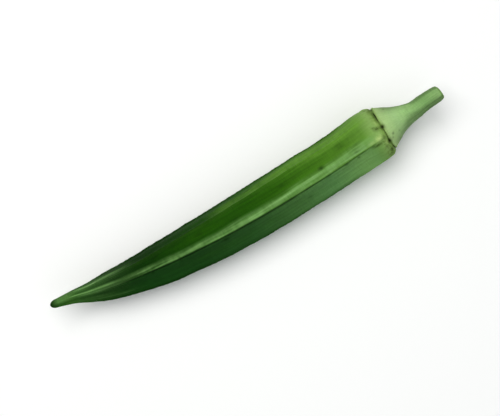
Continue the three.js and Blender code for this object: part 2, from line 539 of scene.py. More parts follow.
def seed_bulges(skin):
    """The soft bulges of two rows of seeds on each face, uneven in height and spacing."""
    rows = np.sin(2 * math.pi * skin.across) ** 2
    shift = growth_values("seed_shift")[skin.sector] + SEED_WANDER * ripples(skin, "seed rows")
    beat = np.sin(2 * math.pi * skin.x / SEED_SPACING + shift)
    return rows * beat * uneven(skin, "seed strength")


def face_relief(skin):
    """Hollow faces with the bulges of the seeds, fine ribs towards the beak, and veins."""
    inside = np.sin(math.pi * skin.across)
    relief = growth_values("swell")[skin.sector] * inside**2
    relief += SEED_BULGE * shows(skin, "seeds") * seed_bulges(skin)
    relief += BEAK_RIB_HEIGHT * (1 - changed(skin, "ribs end")) * (beak_ribs(skin) - MEAN_BEAK_RIB)
    relief += FINE_RIB_HEIGHT * (1 - changed(skin, "fine ribs end")) * (fine_ribs(skin) - 0.5)
    return relief + VEIN_HEIGHT * ripples(skin, "veins")


def scar_relief(skin):
    """The torn groove of the scar and its lip, with warts before it."""
    torn = uneven(skin, "torn scar")
    groove = SCAR_DEPTH * torn * bell(skin.x - SCAR_AT, SCAR_HALF_WIDTH)
    lip = SCAR_LIP * torn * bell(skin.x - SCAR_AT - SCAR_LIP_AFTER, SCAR_HALF_WIDTH)
    return lip - groove + bell(skin.x - WARTS_AT, WARTS_REACH) * waves_at(WARTS, skin.angle)


def stalk_relief(skin):
    """Fine ribs along the stalk, a little twisted, and small bumps."""
    waver = STALK_RIB_WAVER * ripples(skin, "stalk ribs")
    ribs = np.sin(STALK_RIBS * skin.angle + STALK_RIB_TWIST * skin.x + waver)
    bumps = STALK_BUMP_HEIGHT * ripples(skin, "stalk bumps")
    return changed(skin, "stalk begins") * (STALK_RIB_HEIGHT * ribs + bumps)


def skin_relief(skin):
    """Everything that stands out of, or sinks into, the plain six-sided form."""
    relief = skin.ridged * skin.size * (ridge_relief(skin) + face_relief(skin) - MEAN_RIDGE_HEIGHT)
    relief += UNEVEN_HEIGHT * skin.size * ripples(skin, "unevenness")
    return relief + scar_relief(skin) + stalk_relief(skin)


def skin_points(skin):
    """Points of the skin. The scar's wave moves whole rings a little along the pod, more on one side."""
    x = skin.x[:, 0]
    radius = skin.radius + skin_relief(skin)
    wave = bell(skin.x - SCAR_AT, SCAR_WAVE_REACH) * waves_at(SCAR_WAVES, skin.angle)
    along = unit(middle_at(x + SHORT_STEP) - middle_at(x - SHORT_STEP))
    side = unit(np.cross([0, 0, 1], along))
    up = np.cross(along, side)
    return (
        middle_at(x)[:, None]
        + along[:, None] * wave[..., None]
        + side[:, None] * (radius * np.cos(skin.angle))[..., None]
        + up[:, None] * (radius * np.sin(skin.angle))[..., None]
    )


def cut_points(rim, skin):
    """Rings of the cut face, from the bevel in to the centre: a rim, a ring of fibres, and soft pith."""
    centre = middle_at(np.array([POD_LENGTH]))[0]
    angle = skin.angle[-1]
    fibres = FIBRE_HEIGHT * np.sin(FIBRE_COUNT * angle + 1) * np.sin(FIBRE_BUNDLES * angle)
    bevel = CUT_BEVEL / CUT_HALF_WIDTH
    rings = []
    for share in np.linspace(0, 1, CUT_RINGS, endpoint=False):
        ring = rim + (centre - rim) * (bevel + (1 - bevel) * share)
        ring[:, 0] = centre[0] - CUT_SLOPE * (ring[:, 1] - centre[1])
        ring[:, 0] += fibres * bell(share - FIBRE_RING_AT, FIBRE_RING_WIDTH)
        ring[:, 0] -= PITH_DEPTH * smoothstep(share, *PITH_SINKS)
        rings.append(ring)
    return np.array(rings), centre - [PITH_DEPTH, 0, 0]


# Colour masks. First the crests, and the pale bands before them.
LINE_REACH = 0.32
PAINTED_EDGE_SHADE_REACH = 0.6
BAND_WIDENS = 0.4
BAND_APPEARS_OVER = 10
BAND_FIRST = 0.6
BAND_GROWS_OVER = 60
BAND_AT_CREST = 0.3
BAND_FADES_FROM = 0.35
BAND_PAST_CREST = 0.15
BAND_PAST_FADES = (0.1, 0.5)
BAND_OVER_CREST = (0.6, 1.6)
BAND_PATCHES = 0.12
# The painted shade in the creases past the crests, and the faces, with painted shade on some and painted
# light on one side.
CREASE_SHADE_REACH = 0.36
CREASE_SHADE_FADE = 0.5
DEEP_REACH = 0.25
PAINTED_SHADE_PAST_CREST = 0.5
# Painted light: the side that faces the light is made paler round this angle, over this reach.
PAINTED_LIT_SIDE = 8
PAINTED_LIT_SIDE_REACH = 34
STREAK_STRENGTH = 0.25
FIBRES_LOST = 0.65
FIBRES_REGAINED = 0.75
# Painted highlights on the beak's upper side, as pale stripes: [angle, half width in degrees, strength].
BEAK_HIGHLIGHTS = [
    [36, 13, 0.5],
    [80, 5, 0.72],
    [91, 6, 0.12],
]
RIB_STRIPES = 0.17
FINE_RIB_STRIPES = 0.22
TIP_PALENESS = 0.25
TIP_UPPER_SIDE = (-0.55, 0.05)
# The collar and the scar.
MOTTLED_AT = 117.4
MOTTLED_REACH = 2.6
MOTTLED_TO = SCAR_AT + 0.4
MOTTLED_ELSEWHERE = 0.35
MOTTLED_LOWER_SIDE = (-0.2, 0.3)
SCAR_REACH = 0.2
# The painted shade on the sides of the cone and the stalk, and the rim of the cut.
FLANK_LOW = 0.3
FLANK_LOW_AT_STALK = 0.72
FLANK_HIGH = 0.98
STALK_TURN = 0.17
NECK_TURN = 0.42
NECK_AT = 127.5
NECK_REACH = 3
CUT_AT_RIM = 0.05
# Single marks: [distance, angle, length, width, strength].
SCAR_SPOTS = [
    (118.5, 85, 0.75, 0.75, 1.0),
    (118.6, 125, 0.8, 1.0, 1.0),
    (118.2, 52, 0.4, 2.2, 0.5),
    (118.2, 22, 0.4, 1.8, 0.5),
    (118.3, 40, 0.4, 0.6, 0.5),
    (118.6, 212, 0.6, 0.9, 0.8),
    (118.4, 283, 0.5, 0.8, 0.8),
    (118.5, 345, 0.6, 0.8, 0.7),
]
COLLAR_MARKS = [
    (116.7, 82, 1.0, 0.6, 1.0),
    (115.9, 77, 0.6, 0.4, 0.8),
    (114.4, 112, 1.7, 0.45, 1.0),
    (112.8, 110, 0.9, 0.3, 0.7),
    (117.2, 108, 0.5, 1.2, 0.5),
    (117.2, 148, 0.9, 1.1, 1.0),
    (116.4, 156, 1.3, 0.9, 0.7),
    (116.6, 128, 0.5, 0.7, 0.7),
    (117.6, 30, 0.5, 1.6, 0.6),
    (116.3, 205, 0.7, 1.1, 0.8),
    (115.6, 262, 0.8, 1.0, 0.7),
    (116.6, 322, 0.6, 1.2, 0.8),
    (116.8, 18, 0.5, 0.8, 0.5),
]
PALE_MARKS = [
    (115.6, 101, 1.3, 0.8, 0.7),
    (113.2, 101, 1.4, 0.5, 0.35),
    (117.3, 118, 0.5, 1.0, 0.4),
    (117.4, 70, 0.4, 1.2, 0.3),
    (116.0, 240, 1.0, 0.9, 0.5),
]
DARK_SPOTS = [
    (95.4, 84, 1.0, 0.7, 1.0),
    (82.0, 68, 1.3, 0.4, 0.5),
    (104.5, 66, 1.5, 0.4, 0.45),
    (107.5, 92, 1.8, 0.35, 0.4),
    (64.0, 80, 1.6, 0.5, 0.4),
    (72.0, 20, 1.2, 0.5, 0.5),
    (88.0, 135, 1.1, 0.6, 0.5),
    (43.4, 99, 0.35, 0.9, 0.8),
    (58.5, 111, 1.1, 0.5, 0.9),
    (33.5, 103, 0.5, 0.5, 0.6),
    (96.2, 108, 0.7, 0.4, 0.7),
    (103.0, 109, 0.8, 0.4, 0.8),
    (107.2, 111, 0.5, 0.35, 0.7),
    (107.5, 98, 0.9, 0.4, 0.5),
    (104.0, 60, 1.2, 0.8, 0.35),
    (108.8, 84, 2.4, 0.4, 0.45),
    (52.0, 66, 1.4, 0.6, 0.5),
    (36.0, 62, 1.2, 0.5, 0.5),
    (54.0, 200, 1.0, 0.6, 0.7),
    (92.0, 270, 1.1, 0.7, 0.7),
    (70.0, 330, 0.9, 0.6, 0.6),
]
CAP_DOTS = [
    (120.8, 117, 0.4, 0.4, 0.6),
    (120.2, 126, 0.3, 0.3, 0.5),
    (123.0, 128, 0.3, 0.3, 0.35),
    (121.6, 30, 0.18, 0.22, 0.7),
    (122.0, 160, 0.2, 0.24, 0.7),
    (120.9, 215, 0.2, 0.26, 0.8),
    (122.8, 265, 0.16, 0.2, 0.6),
    (121.4, 310, 0.2, 0.24, 0.8),
]


def spots_mask(skin, spots):
    """How far each point is inside one of the marks, from 0 to 1."""
    mask = np.zeros_like(skin.angle)
    for x, angle, length, width, strength in spots:
        sideways = turn_from(skin, angle) * skin.radius
        mask = np.maximum(mask, strength * bell(skin.x - x, length) * bell(sideways, width))
    return mask


def ridge_line_mask(skin):
    """The pale thin line on each crest."""
    line = beside_ridges(skin, growth_values("line"), LINE_REACH * (0.5 + 0.5 * skin.size))
    return line * shows(skin, "crest line") * uneven(skin, "crest line")


def painted_edge_shade_mask(skin):
    """Painted shade that darkens the bristly ridges at the two sides of the pod."""
    return beside_ridges(skin, growth_values("painted_edge_shade"), PAINTED_EDGE_SHADE_REACH) * shows(skin, "painted_edge_shade")


def band_strength(skin):
    """How strong the pale bands are: faint at first, full further on, and gone at the collar."""
    behind = skin.x - growth_values("band_start")[skin.after]
    growing = BAND_FIRST + (1 - BAND_FIRST) * smoothstep(behind, 0, BAND_GROWS_OVER)
    return smoothstep(behind, 0, BAND_APPEARS_OVER) * growing * (1 - changed(skin, "bands end"))


def band_mask(skin, shares):
    """The pale band that runs beside a ridge, before its crest, and fades into the face. The shares say how
    much of each ridge's strength to take."""
    band = growth_values("band") * shares
    reach = growth_values("band_width")[skin.after] * skin.size * uneven(skin, "band width")
    reach = reach * (1 + BAND_WIDENS * changed(skin, "bands widen"))
    off_crest = smoothstep(skin.short, 0, growth_values("band_gap")[skin.after])
    before_crest = BAND_AT_CREST + (1 - BAND_AT_CREST) * off_crest
    before_crest = before_crest * (1 - smoothstep(skin.short, BAND_FADES_FROM * reach, reach))
    start, end = BAND_PAST_FADES
    after_crest = BAND_PAST_CREST * (1 - smoothstep(skin.past, start * reach, end * reach))
    over = growth_values("band_over")[skin.sector] * changed(skin, "bands spread")
    after_crest = np.maximum(after_crest, over * (1 - smoothstep(skin.past, *BAND_OVER_CREST)))
    mask = np.maximum(band[skin.after] * before_crest, band[skin.sector] * after_crest)
    streaky = uneven(skin, "band fibres") + BAND_PATCHES * ripples(skin, "band patches")
    return mask * band_strength(skin) * streaky


def painted_crease_shade_mask(skin):
    """Painted shade: a dark line in the fold just past each crest, fainter towards the collar."""
    crease = growth_values("crease") / growth_values("crease").max()
    line = bell(skin.past - CREASE_PAST_CREST * skin.size, CREASE_SHADE_REACH * skin.size)
    strength = crease[skin.sector] * uneven(skin, "crease")
    return line * strength * (1 - CREASE_SHADE_FADE * changed(skin, "creases fade")) * shows(skin, "crease")


def rib_and_highlight_mask(skin):
    """Pale stripes along the beak: the ribs' own paler colour, with painted highlights strong on its upper
    side, which run together at its tip.
    """
    stripes = RIB_STRIPES * beak_ribs(skin) + FINE_RIB_STRIPES * fine_ribs(skin)
    for angle, width, strength in BEAK_HIGHLIGHTS:
        stripes = stripes + strength * bell(turn_from(skin, angle), math.radians(width))
    stripes = stripes * uneven(skin, "beak stripes") * shows(skin, "beak stripes")
    tip = TIP_PALENESS * shows(skin, "beak tip") * smoothstep(np.cos(skin.angle), *TIP_UPPER_SIDE)
    return np.maximum(stripes, tip)


def painted_lit_side_mask(skin):
    """Painted light: the side of the pod that faces the light, made paler."""
    return bell(turn_from(skin, PAINTED_LIT_SIDE), math.radians(PAINTED_LIT_SIDE_REACH)) * shows(skin, "painted lit side")


def painted_shade_mask(skin):
    """Painted shade: a bluer green on the faces that turn away from the light."""
    past_crest = smoothstep(skin.past, 0, PAINTED_SHADE_PAST_CREST)
    return growth_values("painted_shade")[skin.sector] * past_crest * shows(skin, "painted_shade")


def deep_mask(skin):
    """The darker, richer green in the middle of a face."""
    middle = bell(skin.across - growth_values("deep_at")[skin.sector], DEEP_REACH)
    strength = growth_values("deep")[skin.sector] * uneven(skin, "deep patches")
    return middle * strength * shows(skin, "deep")


def painted_flank_shade_mask(skin):
    """Painted shade on the sides of the cone and the stalk. The lower one is wider, most of all at the
    neck.
    """
    past_neck = changed(skin, "neck ends")
    turn = NECK_TURN * bell(skin.x - NECK_AT, NECK_REACH) + STALK_TURN * past_neck
    low = FLANK_LOW + (FLANK_LOW_AT_STALK - FLANK_LOW) * past_neck
    upright = smoothstep(np.sin(skin.angle + turn), low, FLANK_HIGH)
    return changed(skin, "cone begins") * (1 - upright)


def scar_mask(skin):
    """The dark line of the scar, thicker and darker in places."""
    line = bell(skin.x - SCAR_AT, SCAR_REACH) * uneven(skin, "scar")
    return np.maximum(line, spots_mask(skin, SCAR_SPOTS))


def mottled_mask(skin):
    """The brown blotches of the collar, mostly on its lower side."""
    collar = bell(skin.x - MOTTLED_AT, MOTTLED_REACH) * (skin.x < MOTTLED_TO)
    lower_side = smoothstep(-np.cos(skin.angle), *MOTTLED_LOWER_SIDE)
    return collar * (MOTTLED_ELSEWHERE + (1 - MOTTLED_ELSEWHERE) * lower_side)


def fibrous_mask(skin):
    """How strongly the skin's fibres show: less on the smooth collar, and more on the stalk."""
    fibrous = 1 - FIBRES_LOST * changed(skin, "fibres fade")
    return fibrous + FIBRES_REGAINED * changed(skin, "fibres return") + 0 * skin.angle


def colour_masks(skin):
    """All masks of the skin, by name, each from 0 to 1."""
    fibrous = fibrous_mask(skin)
    warmth = growth_values("band_warmth")
    masks = {
        "along": skin.x / POD_LENGTH + 0 * skin.angle,
        "line": ridge_line_mask(skin),
        "band": band_mask(skin, 1 - warmth),
        "warm_band": band_mask(skin, warmth),
        "crease": painted_crease_shade_mask(skin),
        "deep": deep_mask(skin),
        "ribs": rib_and_highlight_mask(skin),
        "painted_shade": painted_shade_mask(skin),
        "painted_edge_shade": painted_edge_shade_mask(skin),
        "painted_lit_side": painted_lit_side_mask(skin),
        "painted_flank_shade": painted_flank_shade_mask(skin),
        "scar": scar_mask(skin),
        "mottled": mottled_mask(skin),
        "marks": spots_mask(skin, COLLAR_MARKS),
        "pale_marks": spots_mask(skin, PALE_MARKS),
        "spots": spots_mask(skin, DARK_SPOTS),
        "dots": spots_mask(skin, CAP_DOTS),
        "streaks": 0.5 + STREAK_STRENGTH * ripples(skin, "streaks") * fibrous,
        "fibrous": fibrous,
    }
    return {name: np.clip(mask, 0, 1) for name, mask in masks.items()}


def add_mask(mesh, name, values):
    layer = mesh.attributes.new(name, "FLOAT", "POINT")
    layer.data.foreach_set("value", np.asarray(values, np.float32).ravel())


def ring_faces(rings, around):
    """Quads between neighbouring rings."""
    row, i = np.meshgrid(np.arange(rings - 1), np.arange(around), indexing="ij")
    a = row * around + i
    b = row * around + (i + 1) % around
    return np.stack([a, b, b + around, a + around], -1).reshape(-1, 4)


def add_bake_map(mesh, rings, around):
    """A flat map of the skin, the way it would unroll: rings side by side, and the two ends after them."""
    row, i = np.meshgrid(np.arange(rings - 1), np.arange(around), indexing="ij")
    u = np.stack([row, row, row + 1, row + 1], -1).reshape(-1)
    v = np.stack([i, i + 1, i + 1, i], -1).reshape(-1)
    i = np.arange(around)
    first = np.zeros(around)
    last = first + rings - 1
    end_u = np.stack([first - 1, first, first, last + 1, last, last], -1).reshape(-1)
    end_v = np.stack([i + 0.5, i + 1, i, i + 0.5, i, i + 1], -1).reshape(-1)
    u = (np.concatenate([u, end_u]) + 1) / (rings + 1)
    v = np.concatenate([v, end_v]) / around
    layer = mesh.uv_layers.new(name="OFBake", do_init=False)
    layer.uv.foreach_set("vector", np.stack([u, v], -1).astype(np.float32).ravel())


def add_masks(mesh, skin):
    """Every mask, as a value of each point: the skin's rings, the rings of the cut, and the two ends."""
    for name, mask in colour_masks(skin).items():
        at_cut = np.repeat(mask[-1:], CUT_RINGS, 0)
        ends = [mask[0].mean(), mask[-1].mean()]
        add_mask(mesh, name, np.concatenate([mask.ravel(), at_cut.ravel(), ends]))
    on_cut = CUT_AT_RIM + (1 - CUT_AT_RIM) * cut_shares(skin)
    add_mask(mesh, "cut", np.concatenate([np.zeros(skin.angle.size), on_cut.ravel(), [0, 1]]))


def cut_shares(skin):
    """How far in from the rim each point of the cut's rings is."""
    return np.linspace(0, 1, CUT_RINGS, endpoint=False)[:, None] + np.zeros(skin.angle.shape[1])


def add_straight_places(mesh, skin):
    """The place of each point on a pod without its bow, so that fine textures run along the pod."""
    sideways = skin.radius * np.cos(skin.angle)
    upward = skin.radius * np.sin(skin.angle)
    straight = np.stack([skin.x + 0 * skin.angle, sideways, upward], -1)
    at_cut = straight[-1] * (1 - cut_shares(skin)[..., None] * [0, 1, 1])
    ends = [[0, 0, 0], [POD_LENGTH, 0, 0]]
    places = np.concatenate([straight.reshape(-1, 3), at_cut.reshape(-1, 3), ends])
    layer = mesh.attributes.new("straight", "FLOAT_VECTOR", "POINT")
    layer.data.foreach_set("vector", places.astype(np.float32).ravel())


def add_object(name, mesh):
    made = bpy.data.objects.new(name, mesh)
    bpy.context.scene.collection.objects.link(made)
    return made


def make_skin(skin):
    """The pod as one closed mesh, with its masks."""
    body = skin_points(skin)
    cut, cut_centre = cut_points(body[-1], skin)
    rings = np.concatenate([body, cut])
    around = rings.shape[1]
    tip = middle_at(np.array([0.0]))[0]
    points = np.vstack([rings.reshape(-1, 3), tip, cut_centre])
    points[:, 2] = np.maximum(points[:, 2], 0)
    tip_index = len(points) - 2
    centre_index = len(points) - 1
    faces = ring_faces(len(rings), around).tolist()
    last = (len(rings) - 1) * around
    for i in range(around):
        j = (i + 1) % around
        faces.append([tip_index, j, i])
        faces.append([centre_index, last + i, last + j])

    mesh = bpy.data.meshes.new("pod_skin")
    mesh.from_pydata((points * MM).tolist(), [], faces)
    add_masks(mesh, skin)
    add_straight_places(mesh, skin)
    add_bake_map(mesh, len(rings), around)
    mesh.shade_smooth()
    return add_object("pod_skin", mesh)


# Hairs: short down, mostly on the ridges and the collar.
HAIR_SEED = 77
HAIR_COUNT = 6500
HAIR_LENGTH = (0.15, 0.38)
HAIR_HALF_WIDTH = 0.01
HAIR_ROOT_DEPTH = 0.08
HAIR_CLEAR_OF_TABLE = 0.1
HAIR_WAVER = 0.35
HAIR_LEAN = 0.45
HAIRS_FROM = 3
HAIRS_CLEAR_OF_SCAR = 0.6
HAIRS_BESIDE_RIDGE = 0.9
HAIRS_ON_FACE = 0.25
HAIRS_ON_STALK = 0.2


def hair_places(skin, rng):
    """The ring and the point of each hair, by chance: most beside the ridges, few on the cone and stalk."""
    near_ridge = bell(np.minimum(skin.past, skin.short), HAIRS_BESIDE_RIDGE)
    hairy = (skin.x > HAIRS_FROM) * (skin.x < SCAR_AT - HAIRS_CLEAR_OF_SCAR)
    likely = (HAIRS_ON_FACE + near_ridge) * hairy
    likely[skin.x[:, 0] > SCAR_AT + HAIRS_CLEAR_OF_SCAR] = HAIRS_ON_STALK
    likely = likely * np.gradient(skin.x[:, 0])[:, None] * skin.radius
    chosen = rng.choice(likely.size, HAIR_COUNT, p=(likely / likely.sum()).ravel())
    row, column = np.divmod(chosen, likely.shape[1])
    return np.clip(row, 1, likely.shape[0] - 2), column


def hair_spikes(skin):
    """The root and tip of each hair, and two directions across it. All are clear of the table."""
    rng = np.random.default_rng(HAIR_SEED)
    points = skin_points(skin)
    row, column = hair_places(skin, rng)
    place = points[row, column]
    along = unit(points[row + 1, column] - points[row - 1, column])
    around = unit(points[row, (column + 1) % points.shape[1]] - points[row, column - 1])
    out = np.cross(along, around)
    out *= np.sign((out * (place - middle_at(skin.x[row, 0]))).sum(1, keepdims=True))
    heading = unit(out + rng.normal(0, HAIR_WAVER, out.shape) - HAIR_LEAN * along)
    length = rng.uniform(*HAIR_LENGTH, (HAIR_COUNT, 1))
    base = place + (points[row + 1, column] - place) * rng.random((HAIR_COUNT, 1))
    tip = base + heading * length
    clear = tip[:, 2] > HAIR_CLEAR_OF_TABLE
    root = base - out * HAIR_ROOT_DEPTH
    return root[clear], tip[clear], along[clear], around[clear]


def make_hairs(skin):
    """Short hairs as slim three-sided spikes with their roots sunk in the skin, as one mesh."""
    root, tip, along, around = hair_spikes(skin)
    corners = [
        root + HAIR_HALF_WIDTH * (math.cos(turn) * along + math.sin(turn) * around)
        for turn in (0, 2 * math.pi / 3, 4 * math.pi / 3)
    ]
    count = len(root)
    a, b, c, d = (np.arange(count) + k * count for k in range(4))
    faces = np.concatenate([np.stack(face, 1) for face in ([a, b, d], [b, c, d], [c, a, d], [a, c, b])])
    mesh = bpy.data.meshes.new("pod_hairs")
    mesh.from_pydata((np.concatenate([*corners, tip]) * MM).tolist(), [], faces.tolist())
    add_mask(mesh, "to_tip", np.repeat([0, 0, 0, 1], count))
    return add_object("pod_hairs", mesh)


class Nodes:
    """Short calls that build a material's node tree."""

    def __init__(self, name):
        self.material = bpy.data.materials.new(name)
        self.material.use_nodes = True
        self.tree = self.material.node_tree
        self.shader = self.tree.nodes["Principled BSDF"]

    def plug(self, socket, value):
        if isinstance(value, bpy.types.NodeSocket):
            self.tree.links.new(value, socket)
        else:
            socket.default_value = value

    def mask(self, name):
        node = self.tree.nodes.new("ShaderNodeAttribute")
        node.attribute_name = name
        return node.outputs["Fac"]

    def place(self, stretch):
        """Coordinates on the pod as it would be without its bow. Below 1, an axis draws a texture out."""
        node = self.tree.nodes.new("ShaderNodeAttribute")
        node.attribute_name = "straight"
        mapping = self.tree.nodes.new("ShaderNodeMapping")
        mapping.inputs["Scale"].default_value = stretch
        self.plug(mapping.inputs["Vector"], node.outputs["Vector"])
        return mapping.outputs["Vector"]

    def noise(self, stretch, scale, detail, roughness):
        node = self.tree.nodes.new("ShaderNodeTexNoise")
        self.plug(node.inputs["Vector"], self.place(stretch))
        node.inputs["Scale"].default_value = scale
        node.inputs["Detail"].default_value = detail
        node.inputs["Roughness"].default_value = roughness
        return node.outputs["Fac"]

    def cells(self, scale):
        """The distance from the nearest of many points strewn over the skin."""
        node = self.tree.nodes.new("ShaderNodeTexVoronoi")
        self.plug(node.inputs["Vector"], self.place(EVEN))
        node.inputs["Scale"].default_value = scale
        return node.outputs["Distance"]

    def calm(self, value, amount):
        """value drawn in to 0.5 where amount is low."""
        return self.math("ADD", self.math("MULTIPLY", self.math("SUBTRACT", value, 0.5), amount), 0.5)

    def math(self, operation, first, second=0.0):
        node = self.tree.nodes.new("ShaderNodeMath")
        node.operation = operation
        self.plug(node.inputs[0], first)
        self.plug(node.inputs[1], second)
        return node.outputs[0]

    def spread(self, value, low, high, out_low=0.0, out_high=1.0):
        """value moved from the range low..high to out_low..out_high, and kept inside it."""
        node = self.tree.nodes.new("ShaderNodeMapRange")
        self.plug(node.inputs["Value"], value)
        limits = {"From Min": low, "From Max": high, "To Min": out_low, "To Max": out_high}
        for name, limit in limits.items():
            node.inputs[name].default_value = limit
        return node.outputs["Result"]

    def shade(self, base, brightness):
        """base made darker or brighter by a factor, with its hue kept."""
        node = self.tree.nodes.new("ShaderNodeHueSaturation")
        self.plug(node.inputs["Color"], base)
        self.plug(node.inputs["Value"], brightness)
        return node.outputs["Color"]

    def mix(self, base, top, amount):
        node = self.tree.nodes.new("ShaderNodeMix")
        node.data_type = "RGBA"
        sockets = {socket.identifier: socket for socket in node.inputs}
        self.plug(sockets["Factor_Float"], amount)
        self.plug(sockets["A_Color"], base)
        self.plug(sockets["B_Color"], top)
        return next(socket for socket in node.outputs if socket.identifier == "Result_Color")

    def ramp(self, value, stops):
        node = self.tree.nodes.new("ShaderNodeValToRGB")
        elements = node.color_ramp.elements
        for position, tone in stops[1:-1]:
            elements.new(position).color = tone
        for element, (position, tone) in ((elements[0], stops[0]), (elements[-1], stops[-1])):
            element.position = position
            element.color = tone
        self.plug(node.inputs["Fac"], value)
        return node.outputs["Color"]

    def bump(self, height, depth, strength, normal):
        """A normal bent by bumps of a depth in millimetres, on top of those that another normal has."""
        node = self.tree.nodes.new("ShaderNodeBump")
        self.plug(node.inputs["Height"], height)
        node.inputs["Distance"].default_value = depth * MM
        node.inputs["Strength"].default_value = strength
        if normal is not None:
            self.plug(node.inputs["Normal"], normal)
        return node.outputs["Normal"]


# Noise textures: how they are stretched along the pod and across it, their scale, detail and roughness.
EVEN = (1.0, 1.0, 1.0)
TEXTURES = {
    "fibres": ((0.06, 1.0, 1.0), 2.2, 4.0, 0.6),
    "patches": ((0.12, 1.0, 1.0), 0.35, 3.0, 0.5),
    "hatch": ((1.0, 0.12, 0.12), 3.2, 2.0, 0.5),
    "grain": (EVEN, 5.0, 3.0, 0.6),
    "blotches": (EVEN, 1.3, 4.0, 0.65),
}
PORE_SCALE = 0.9
# Fine bumps of the skin: how deep a texture makes them, in millimetres, and how strongly they show.
BUMPS = {
    "fibres": (0.12, 0.8),
    "hatch": (0.05, 0.6),
    "grain": (0.03, 0.6),
}
# Textures and masks that darken or brighten the green: their low and high value, and the factors there.
SHADING = {
    # Painted light on the side that faces the light.
    "painted_lit_side": (0.0, 1.0, 1.0, 1.12),
    "fibres": (0.3, 0.72, 0.9, 1.12),
    "streaks": (0.1, 0.9, 0.85, 1.1),
    "patches": (0.3, 0.7, 0.94, 1.06),
    "hatch": (0.3, 0.7, 0.93, 1.07),
    # Painted shade on the sides of the cone and the stalk.
    "painted_flank_shade": (0.0, 1.0, 1.0, 0.62),
    "pores": (0.12, 0.04, 1.0, 0.78),
}
# How the grain sets the skin's roughness, in the same way.
ROUGHNESS = (0.3, 0.7, 0.46, 0.6)
# The other values of the skin's shader.
SKIN_SURFACE = {
    "Specular IOR Level": 0.045,
    "Subsurface Weight": 0.06,
    "Subsurface Radius": (0.5, 1.0, 0.25),
    "Subsurface Scale": 0.8 * MM,
}
HAIR_ROUGHNESS = 0.45
# The skin's green at places along the pod: [distance, colour].
GREENS = [
    [0, colour(24, 50, 18)],
    [2.5, colour(52, 92, 38)],
    [6, colour(50, 90, 30)],
    [10, colour(26, 68, 14)],
    [20, colour(6, 44, 0)],
    [45, colour(20, 62, 0)],
    [70, colour(36, 82, 6)],
    [92, colour(66, 110, 26)],
    [106, colour(79, 121, 38)],
    [112, colour(95, 136, 55)],
    [116.5, colour(134, 166, 98)],
    [118.6, colour(124, 154, 80)],
    [119.2, colour(164, 192, 132)],
    [123.5, colour(154, 187, 130)],
    [128, colour(142, 178, 118)],
    [134, colour(124, 161, 102)],
    [POD_LENGTH, colour(136, 170, 112)],
]
# Painted shade, a bluer green for the faces that turn away from the light: [distance, colour].
PAINTED_SHADE_GREENS = [
    [0, colour(6, 50, 2)],
    [20, colour(10, 52, 6)],
    [32, colour(28, 68, 24)],
    [50, colour(32, 70, 28)],
    [68, colour(48, 88, 42)],
    [84, colour(74, 113, 62)],
    [97, colour(92, 134, 80)],
    [108, colour(112, 152, 90)],
    [POD_LENGTH, colour(118, 160, 94)],
]
# The colours that masks lay over the green, and how strongly.
TINTS = {
    "deep": (colour(38, 83, 0), 0.85),
    "warm_band": (colour(118, 164, 68), 1.0),
    "band": (colour(122, 162, 100), 1.0),
    # The ribs' own paler colour, and painted highlights on the beak's upper side.
    "ribs": (colour(128, 172, 106), 1.0),
    "line": (colour(120, 160, 94), 0.5),
    # Painted shade on the ridges at the sides of the pod.
    "painted_edge_shade": (colour(16, 52, 4), 0.7),
    # Painted shade in the creases past the crests.
    "crease": (colour(8, 34, 6), 0.85),
    "spots": (colour(14, 42, 2), 0.75),
    "mottled": (colour(78, 102, 34), 0.75),
    "pale_marks": (colour(188, 210, 138), 0.9),
    "marks": (colour(46, 62, 12), 1.0),
    "dots": (colour(42, 50, 18), 1.0),
    "scar": (colour(24, 23, 7), 1.0),
}
# The texture that breaks a tint up: its low and high value, and how much of the tint is left there.
BREAKS = {
    "deep": ("patches", 0.3, 0.7, 0.75, 1.0),
    "warm_band": ("fibres", 0.3, 0.7, 0.7, 1.0),
    "band": ("fibres", 0.3, 0.7, 0.7, 1.0),
    "mottled": ("blotches", 0.5, 0.66, 0.0, 1.0),
    "pale_marks": ("grain", 0.35, 0.6, 0.5, 1.0),
    "marks": ("grain", 0.35, 0.6, 0.4, 1.0),
}
# The colours of a hair, from its root to its tip.
HAIR_SHADES = [
    (0.0, colour(40, 84, 20)),
    (0.5, colour(84, 124, 56)),
    (1.0, colour(118, 154, 92)),
]
# The colours of the cut face, from its rim to its middle.
CUT_SHADES = [
    (0.0, colour(90, 126, 60)),
    (0.15, colour(140, 170, 100)),
    (0.4, colour(112, 142, 76)),
    (0.6, colour(166, 188, 128)),
    (1.0, colour(184, 200, 148)),
]


def colour_along(nodes, stops):
    """A colour that changes along the pod."""
    return nodes.ramp(nodes.mask("along"), [(x / POD_LENGTH, tone) for x, tone in stops])


def shade(nodes, green, name, value):
    """green made darker or brighter by a texture or a mask."""
    return nodes.shade(green, nodes.spread(value, *SHADING[name]))


def tint(nodes, green, name, textures):
    """green with a tint over it where its mask is strong, broken up by a texture if it has one."""
    top, share = TINTS[name]
    amount = nodes.math("MULTIPLY", nodes.mask(name), share)
    if name in BREAKS:
        texture, *limits = BREAKS[name]
        amount = nodes.math("MULTIPLY", amount, nodes.spread(textures[texture], *limits))
    return nodes.mix(green, top, amount)


def skin_textures(nodes):
    """The noise textures by name, with fibres and hatching calmed where the skin is smooth."""
    textures = {name: nodes.noise(*values) for name, values in TEXTURES.items()}
    for name in ("fibres", "hatch"):
        textures[name] = nodes.calm(textures[name], nodes.mask("fibrous"))
    return textures


